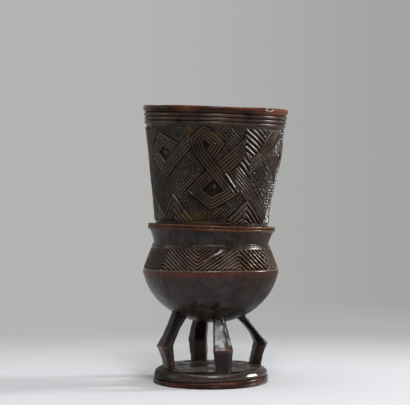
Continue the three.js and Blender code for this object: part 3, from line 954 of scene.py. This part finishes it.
def neck():
    foot = SHOULDER_TOP
    wide, narrow = SHOULDER_TOP_RADIUS, 41.9
    t = np.linspace(0, 1, 22)[1:]
    climb = NECK_TOP - foot - 4
    throat = np.stack([narrow + (NECK_TOP_RADIUS - narrow) * t ** 1.35, foot + 4 + climb * t], -1)
    outer = np.concatenate([
        between((wide + 0.15, foot), (wide - 0.15, foot + 1.4), 4),
        rounding((wide - 1.75, foot + 1.4), 1.6, 1.7, 0, 68, 10),
        [[narrow + 0.03, foot + 3.3], [narrow - 0.05, foot + 4]],
        throat,
    ])
    turns = turns_of(360)
    height = outer[:, 1:]
    step = hump(height, foot, foot + 5) * 0.3 * drift(turns, height, 12, 30, 101)
    facets = 0.1 * drift(turns, height, 26, 6, 102)
    fade = hump(height, foot - 1, NECK_TOP + 1)
    beside = to_right(turns) * swell(height, foot + 3, NECK_TOP - 3)
    bare = unit(beside * (0.4 + 0.7 * drift(turns, height, 14, 3, 103)))
    # Painted shade: the right side above the step darkens and loses its gloss.
    painted_shade = to_right(turns, 0.1, 0.7) * swell(height, foot + 3, foot + 5)
    return carved_ring("throat", outer, step + facets * fade, 3, {"bare": bare, "cut": 0.4 * painted_shade})


def collar():
    edge, throat, foot, top = COLLAR_RADIUS, NECK_TOP_RADIUS, NECK_TOP, COLLAR_TOP
    outer = np.concatenate([
        between((throat, foot), (edge - 0.5, foot + 0.5), 3),
        rounding((edge - 0.8, foot + 1.2), 0.8, 0.8, -60, 0, 4),
        between((edge, foot + 1.2), (edge - 0.1, top - 0.9), 12),
        rounding((edge - 1.0, top - 0.9), 0.9, 0.9, 0, 90, 6),
        between((edge - 1.0, top), (WALL_FOOT_RADIUS - 0.25, top - 0.05), 5),
        [[WALL_FOOT_RADIUS - 0.3, top]],
    ])
    turns = turns_of(360)
    height = outer[:, 1:]
    rim = swell(outer[:, :1], 44.5, 46)
    front = swell(np.cos((turns - 0.58) * 2 * math.pi), -0.1, 0.6)
    groove = -0.55 * np.exp(-((height - foot - 2.2) / 0.4) ** 2) * (0.25 + 0.75 * front)
    nicks = -0.35 * swell(drift(turns, height, 60, 2.4, 111), 0.6, 1.0)
    relief = rim * (groove + nicks + 0.12 * drift(turns, height, 30, 3, 112))
    # The cut map darkens the groove with dirt and painted shade, and the left side with painted shade.
    maps = {"bare": unit(rim * (0.7 + 0.4 * drift(turns, height, 16, 3, 113))),
            "cut": np.maximum(unit(-groove * 2) * rim, 0.6 * to_left(turns))}
    return carved_ring("turned_out_lip", outer, relief, 3, maps)


def beaker_wall():
    turns = turns_of(1080)
    height = np.linspace(COLLAR_TOP, WALL_TOP, 246)[:, None]
    t = (height - COLLAR_TOP) / (WALL_TOP - COLLAR_TOP)
    radius = WALL_FOOT_RADIUS + (WALL_TOP_RADIUS - WALL_FOOT_RADIUS) * t - WALL_WAIST * 4 * t * (1 - t)
    relief, on_strap, sunk = wall_relief(turns, height)
    relief = chipped(turns, height, relief)
    crest, cut = wear_maps(relief)
    # The cut map darkens the cuts and the sunk fields with dirt and painted shade.
    maps = {"crest": crest * np.where(on_strap, 1, 0.4), "cut": np.maximum(cut, 0.75 * sunk),
            "dust": residue_map(turns, height)}
    return carved_ring("strapwork_wall", np.concatenate([radius, height], 1), relief, 20, maps)


def bead(index):
    foot = WALL_TOP + index * BEAD_HEIGHT
    groove = WALL_TOP_RADIUS - 0.85 + index * 0.35
    angle = np.radians(np.linspace(-90, 90, 13))
    outer = np.stack([groove + 1.4 * np.cos(angle), foot + BEAD_HEIGHT * (1 + np.sin(angle)) / 2], -1)
    turns = turns_of(480)
    height = outer[:, 1:]
    middle = np.cos(angle)[:, None]
    fine, broad = drift(turns, height, 70, 3, 121 + index), drift(turns, height, 23, 5, 131 + index)
    relief = middle * (0.16 * fine + 0.12 * broad)
    relief = relief - 0.4 * middle * swell(drift(turns, height, 90, 2.5, 141 + index), 0.7, 1.0)
    # The cut map darkens the grooves between the beads with dirt and painted shade, and the left side with
    # painted shade.
    cut = np.maximum(1 - swell(middle, 0.1, 0.6), 0.4 * to_left(turns))
    maps = {"crest": middle ** 2 + 0 * turns, "cut": cut}
    return carved_ring(("lower", "middle", "upper")[index] + "_bead", outer, relief, 1, maps)


def drinking_lip():
    turns = turns_of(480)
    outer = np.concatenate([
        between((LIP_FOOT_RADIUS - 0.6, BEADS_TOP), (LIP_FOOT_RADIUS, BEADS_TOP + 0.6), 3),
        between((LIP_FOOT_RADIUS, BEADS_TOP + 0.6), (LIP_RADIUS, RIM - 2.4), 4),
        rounding((LIP_RADIUS - LIP_EDGE, RIM - 2.4), LIP_EDGE, 2.4, 0, 90, 10),
        between((LIP_RADIUS - LIP_EDGE, RIM), (MOUTH_RADIUS + LIP_EDGE, RIM - 0.1), 4),
        rounding((MOUTH_RADIUS + LIP_EDGE, RIM - LIP_EDGE - 0.1), LIP_EDGE, LIP_EDGE, 90, 180, 7),
    ])
    levels = np.linspace(RIM - LIP_EDGE - 0.1, BEADS_TOP, 5)
    radius, height = spread(outer, turns)
    side = swell(radius, MOUTH_RADIUS, MOUTH_RADIUS + 3)
    radius = radius + side * hand_drift(turns, height) - (1 - side) * hollow_drift(turns, height)
    radius = radius + side * 0.12 * drift(turns, height, 40, 3, 151)
    top = swell(height, BEADS_TOP + 2, RIM)
    nick = np.exp(-((degrees_at(turns, height) - NICK_AT) / 2.2) ** 2)
    wave = 0.32 * drift(turns, height, 11, 30, 152) + 0.16 * drift(turns, height, 34, 30, 153)
    radius = radius - 0.6 * nick * side * top
    height = height + hand_sway(turns, height) + top * (wave - 0.9 * nick)
    inner_radius, inner_height = hollow_rows(turns, levels)
    points = lean(around(turns, np.concatenate([radius, inner_radius]),
                         np.concatenate([height, inner_height])))
    bare = unit(0.1 + 0.15 * top + 0.3 * to_right(turns) + 0.7 * drift(turns, height, 16, 4, 154))
    # Painted shade: the cut map darkens the lip and takes its gloss towards the left, less where it is bare.
    maps = {"bare": np.concatenate([bare, 0.4 + 0 * inner_radius]), "cut": 0.6 * to_left(turns) * (1 - bare)}
    return grid_mesh("drinking_rim", points, maps, closed=True, sharp=[0, len(points) - 1])


# Each leg: its degrees from the front towards the right, its sections as the carver hewed them, how
# far its outer face reaches to both sides, in parts of its width, and how much painted shade darkens it and
# dulls its gloss
PLAIN_LEG = dict(foot_turn=0, foot_inset=3.4, foot_depth=7.6, foot_width=11.4, knee_reach=4.6,
                 knee_depth=10.6, hip_radius=27.5, hip_depth=12, hip_width=7.7, thigh_arch=2.6,
                 face_left=-0.41, face_right=0.41, face_turn=0, painted_shade=0.4)
LEGS = {
    "leg_front": dict(PLAIN_LEG, azimuth=13, foot_turn=2.5, face_left=-0.47, face_right=0.22, face_turn=1.2,
                      painted_shade=0),
    "leg_right": dict(PLAIN_LEG, azimuth=110, foot_depth=7, knee_depth=7.6, hip_radius=24.4, hip_depth=10.9,
                      thigh_arch=3.6),
    "leg_back": dict(PLAIN_LEG, azimuth=194.4, foot_width=13, hip_width=11),
    "leg_left": dict(PLAIN_LEG, azimuth=295, foot_inset=5.2, foot_depth=6.4, knee_depth=8.9, hip_radius=29.1,
                     hip_depth=13.8, thigh_arch=2),
}
SHIN_HEIGHT = 15.5
KNEE_WIDTH = 14.8
SHIN_ROWS = 17

# How deep the feet and hips stand in disc and bowl, and how far an arris is worn back
FOOT_SINK = 2
HIP_SINK = 2
WORN_ARRIS = 0.55


def leg_sections(kind):
    """Level sections: height, turn, outer radius, depth and width, from in the disc to in the bowl."""
    foot_outer = DISC_RADIUS - kind["foot_inset"]
    foot = np.array([BASE_TOP, kind["foot_turn"], foot_outer, kind["foot_depth"], kind["foot_width"]])
    knee = np.array([BASE_TOP + SHIN_HEIGHT, 0, foot_outer + kind["knee_reach"], kind["knee_depth"],
                     KNEE_WIDTH])
    hip = np.array([bowl_level(kind["hip_radius"]) + HIP_SINK, 0, kind["hip_radius"], kind["hip_depth"],
                    kind["hip_width"]])
    rows = []
    for t in np.linspace(0, 1, SHIN_ROWS)[:-1]:
        row = foot + (knee - foot) * t
        row[2:4] -= 0.8 * 4 * t * (1 - t)
        rows.append(row)
    for t in np.linspace(0, 1, 29):
        row = knee + (hip - knee) * t
        swing = 4 * t * (1 - t)
        row[2] -= 0.9 * swing
        row[3] -= (0.9 + kind["thigh_arch"]) * swing
        rows.append(row)
    below = foot.copy()
    below[0] -= FOOT_SINK
    return np.array([below] + rows)


def toward(place, goal, step):
    return place + (goal - place) / np.linalg.norm(goal - place) * step


def leg(name):
    """A leg with six hewn sides, their arrises a little worn."""
    kind = LEGS[name]
    seed = 200 + 10 * list(LEGS).index(name)
    rows = []
    for level, turn, outer, depth, width in leg_sections(kind):
        left, right = width * kind["face_left"], width * kind["face_right"]
        middle, inner = outer - depth / 3, outer - depth
        corners = np.array([(outer - kind["face_turn"], left), (outer, right), (middle, width / 2),
                            (inner, width * 0.3), (inner, -width * 0.3), (middle, -width / 2)])
        outline = []
        for i, corner in enumerate(corners):
            before, after = corners[i - 1], corners[(i + 1) % 6]
            start = toward(corner, before, WORN_ARRIS)
            stop = toward(corner, after, WORN_ARRIS)
            end = toward(after, corner, WORN_ARRIS)
            outline += [start, (start + stop + corner) / 3, stop]
            outline += [stop + (end - stop) * t for t in (0.25, 0.5, 0.75)]
        out, side = np.array(outline).T
        angle = math.radians(turn)
        x = out * math.cos(angle) - side * math.sin(angle)
        y = out * math.sin(angle) + side * math.cos(angle)
        rows.append(np.stack([x, y, np.full(len(x), level)], -1))
    points = np.array(rows)
    turns = turns_of(points.shape[1])
    level = points[..., 2]
    centre = points.mean(1, keepdims=True)
    outward = points - centre
    outward /= np.linalg.norm(outward, axis=2, keepdims=True)
    carve = 0.2 * drift(turns, level, 12, 5, seed) + 0.1 * drift(turns, level, 24, 2.5, seed + 1)
    carve += 0.09 * drift(turns, level, 36, 1.4, seed + 3)
    points = points + outward * carve[..., None]
    arris = np.tile([1, 1, 1, 0, 0, 0], 6)[None] + 0 * level
    at_knee = np.exp(-((level - BASE_TOP - SHIN_HEIGHT) / 1.5) ** 2)
    outer_face = (points[..., 0] > centre[..., 0] + 1).astype(float)
    bare = 0.12 * arris + outer_face * at_knee * (0.42 + 0.5 * drift(turns, level, 12, 3, seed + 2))
    shin = level < BASE_TOP + SHIN_HEIGHT - 1
    bare = unit(bare + 0.5 * shin * np.maximum(drift(turns, level, 8, 9, seed + 4), 0))
    angle = math.radians(kind["azimuth"] - 90)
    across, along = math.cos(angle), math.sin(angle)
    points = points @ np.array([[across, along, 0], [-along, across, 0], [0, 0, 1]])
    # The cut map darkens and dulls the whole leg by its painted_shade value, which is painted shade, and the
    # shins by at least 0.4.
    maps = {"bare": bare, "cut": np.maximum(kind["painted_shade"], 0.4 * shin) * (1 - bare)}
    return grid_mesh(name + "_hewn", points, maps, start=points[0].mean(0), end=points[-1].mean(0),
                     sharp=[SHIN_ROWS])


def build_cup():
    leg_finish = leg_wood()
    bead_finish = bead_wood()
    settle(base_flange(), "base_flange", flange_wood())
    settle(base_disc(), "base_disc", disc_wood())
    for name in LEGS:
        settle(leg(name), name, leg_finish)
    settle(bowl(), "bowl", bowl_wood())
    settle(chevron_shoulder(), "chevron_shoulder", shoulder_wood())
    settle(neck(), "neck", neck_wood())
    settle(collar(), "collar", collar_wood())
    settle(beaker_wall(), "beaker_wall", wall_wood())
    for index, name in enumerate(("bead_lower", "bead_middle", "bead_upper")):
        settle(bead(index), name, bead_finish)
    settle(drinking_lip(), "drinking_lip", lip_wood())


# Floor, light and camera

# The eye, in metres and radians, and its focal length in parts of the picture's width
EYE_BACK = 1.236
EYE_HEIGHT = 0.174
EYE_DOWN = 0.0349
EYE_TURN = 0.0034
FOCAL_LENGTH = 1699.5 / 410
SENSOR_WIDTH = 36

# Half the side of the floor in metres, its tone, and the far paper's tones to the left and right
FLOOR_REACH = 40
FLOOR_TONE = rgb(227, 228, 231)
PAPER_LEFT = rgb(181, 181, 179)
PAPER_RIGHT = rgb(160, 160, 159)


def paper_tone_group():
    """Tone of the far paper by its slope from straight back: a little darker to the right, as painted shade.
    """
    group, given, result = new_group("paper_tone", ["Slope"], ["Tone"], "NodeSocketColor")
    across = map_range(given["Slope"], -0.085, 0.17)
    give(result, Tone=mix_color(across, PAPER_LEFT, PAPER_RIGHT))
    return group


PAPER_TONE = paper_tone_group()


def slope_tone(across, back):
    """Far paper's tone for a place or a way, from its parts to the right and to the back."""
    reach = math_node("MAXIMUM", math_node("ABSOLUTE", back, 0.0), 0.05)
    return use_group(tree_of(across), PAPER_TONE, Slope=math_node("DIVIDE", across, reach))["Tone"]


def seen_or_mirrored(tree):
    """1 for what the camera sees straight, in a gloss or through glass."""
    path = add_node(tree, "LightPath").outputs
    mirrored = math_node("MAXIMUM", path["Is Glossy Ray"], path["Is Transmission Ray"])
    return math_node("MAXIMUM", path["Is Camera Ray"], mirrored)


def stage_paper():
    """Pale floor that passes all round into the tone of the far paper."""
    material, tree, shader = new_material("stage_paper")
    shader.inputs["Roughness"].default_value = 0.8
    shader.inputs["Specular IOR Level"].default_value = 0.2
    shader.inputs["Base Color"].default_value = FLOOR_TONE
    place = object_place(tree)
    split = add_node(tree, "SeparateXYZ", Vector=place).outputs
    narrowed = vector_math("MULTIPLY", place, i1=(0.6, 1, 0))[0]
    narrowed = vector_math("ADD", narrowed, i1=(0, 0.05, 0))[0]
    away = vector_math("LENGTH", narrowed)["Value"]
    from_eye = plus(split["Y"], EYE_BACK)
    kept = math_node("SUBTRACT", 1.0, map_range(away, 0.75, 0.3, 0.0, 1.3))
    across = math_node("MINIMUM", split["X"], times(split["X"], kept))
    glow = add_node(tree, "Emission", Color=slope_tone(across, from_eye))
    far = times(map_range(away, 0.1, 0.405), seen_or_mirrored(tree))
    mix = add_node(tree, "MixShader", i0=far, i1=shader.outputs[0], i2=glow.outputs[0])
    feed(tree.nodes["Material Output"].inputs["Surface"], mix.outputs[0])
    return material


def paper_floor():
    """Wide floor under the cup."""
    mesh = bpy.data.meshes.new("paper_floor")
    corners = [(x * FLOOR_REACH, y * FLOOR_REACH, 0) for x, y in ((-1, -1), (1, -1), (1, 1), (-1, 1))]
    mesh.from_pydata(corners, [], [(0, 1, 2, 3)])
    mesh.materials.append(stage_paper())
    sheet = in_scene("paper_floor", mesh)


def soft_light(name, place, target, size, power):
    data = bpy.data.lights.new(name, "AREA")
    data.shape = "RECTANGLE"
    data.size, data.size_y = size
    data.energy = power
    lamp = in_scene(name, data)
    lamp.location = place
    x, y, z = np.array(target) - np.array(place)
    lamp.rotation_euler = (math.atan2(math.hypot(x, y), -z), 0, math.atan2(y, x) - math.pi / 2)


def lights():
    soft_light("side_window", (1.48, 0.2, 0.62), (0, 0, 0.1), (0.34, 0.32), 19)
    soft_light("front_panel", (0.11, -0.79, 1.33), (0, 0, 0.05), (0.28, 0.26), 8.5)
    soft_light("left_panel", (-1.48, 0.02, 0.5), (0, 0, 0.1), (0.2, 0.2), 1.5)
    soft_light("ceiling_panel", (0, -0.12, 1.88), (0, 0, 0), (1.9, 1.5), 17.5)


def room():
    """Dim room whose far paper shows only to the eye and in glosses."""
    world = bpy.data.worlds.new("room")
    world.use_nodes = True
    tree = world.node_tree
    dim = tree.nodes["Background"]
    dim.inputs["Color"].default_value = (1, 1, 1, 1)
    dim.inputs["Strength"].default_value = 0.04
    way = add_node(tree, "TexCoord").outputs["Generated"]
    split = add_node(tree, "SeparateXYZ", Vector=way).outputs
    pale = add_node(tree, "Background", Color=slope_tone(split["X"], split["Y"]))
    mix = add_node(tree, "MixShader", i0=seen_or_mirrored(tree), i1=dim.outputs[0],
                   i2=pale.outputs[0])
    feed(tree.nodes["World Output"].inputs["Surface"], mix.outputs[0])
    bpy.context.scene.world = world


def camera():
    data = bpy.data.cameras.new("camera")
    data.sensor_width = SENSOR_WIDTH
    data.lens = FOCAL_LENGTH * SENSOR_WIDTH
    data.clip_end = 100
    eye = in_scene("camera", data)
    eye.location = (0, -EYE_BACK, EYE_HEIGHT)
    eye.rotation_euler = (math.pi / 2 - EYE_DOWN, 0, EYE_TURN)
    bpy.context.scene.camera = eye


build_cup()
paper_floor()
lights()
room()
camera()
bpy.context.scene.view_settings.view_transform = "Standard"
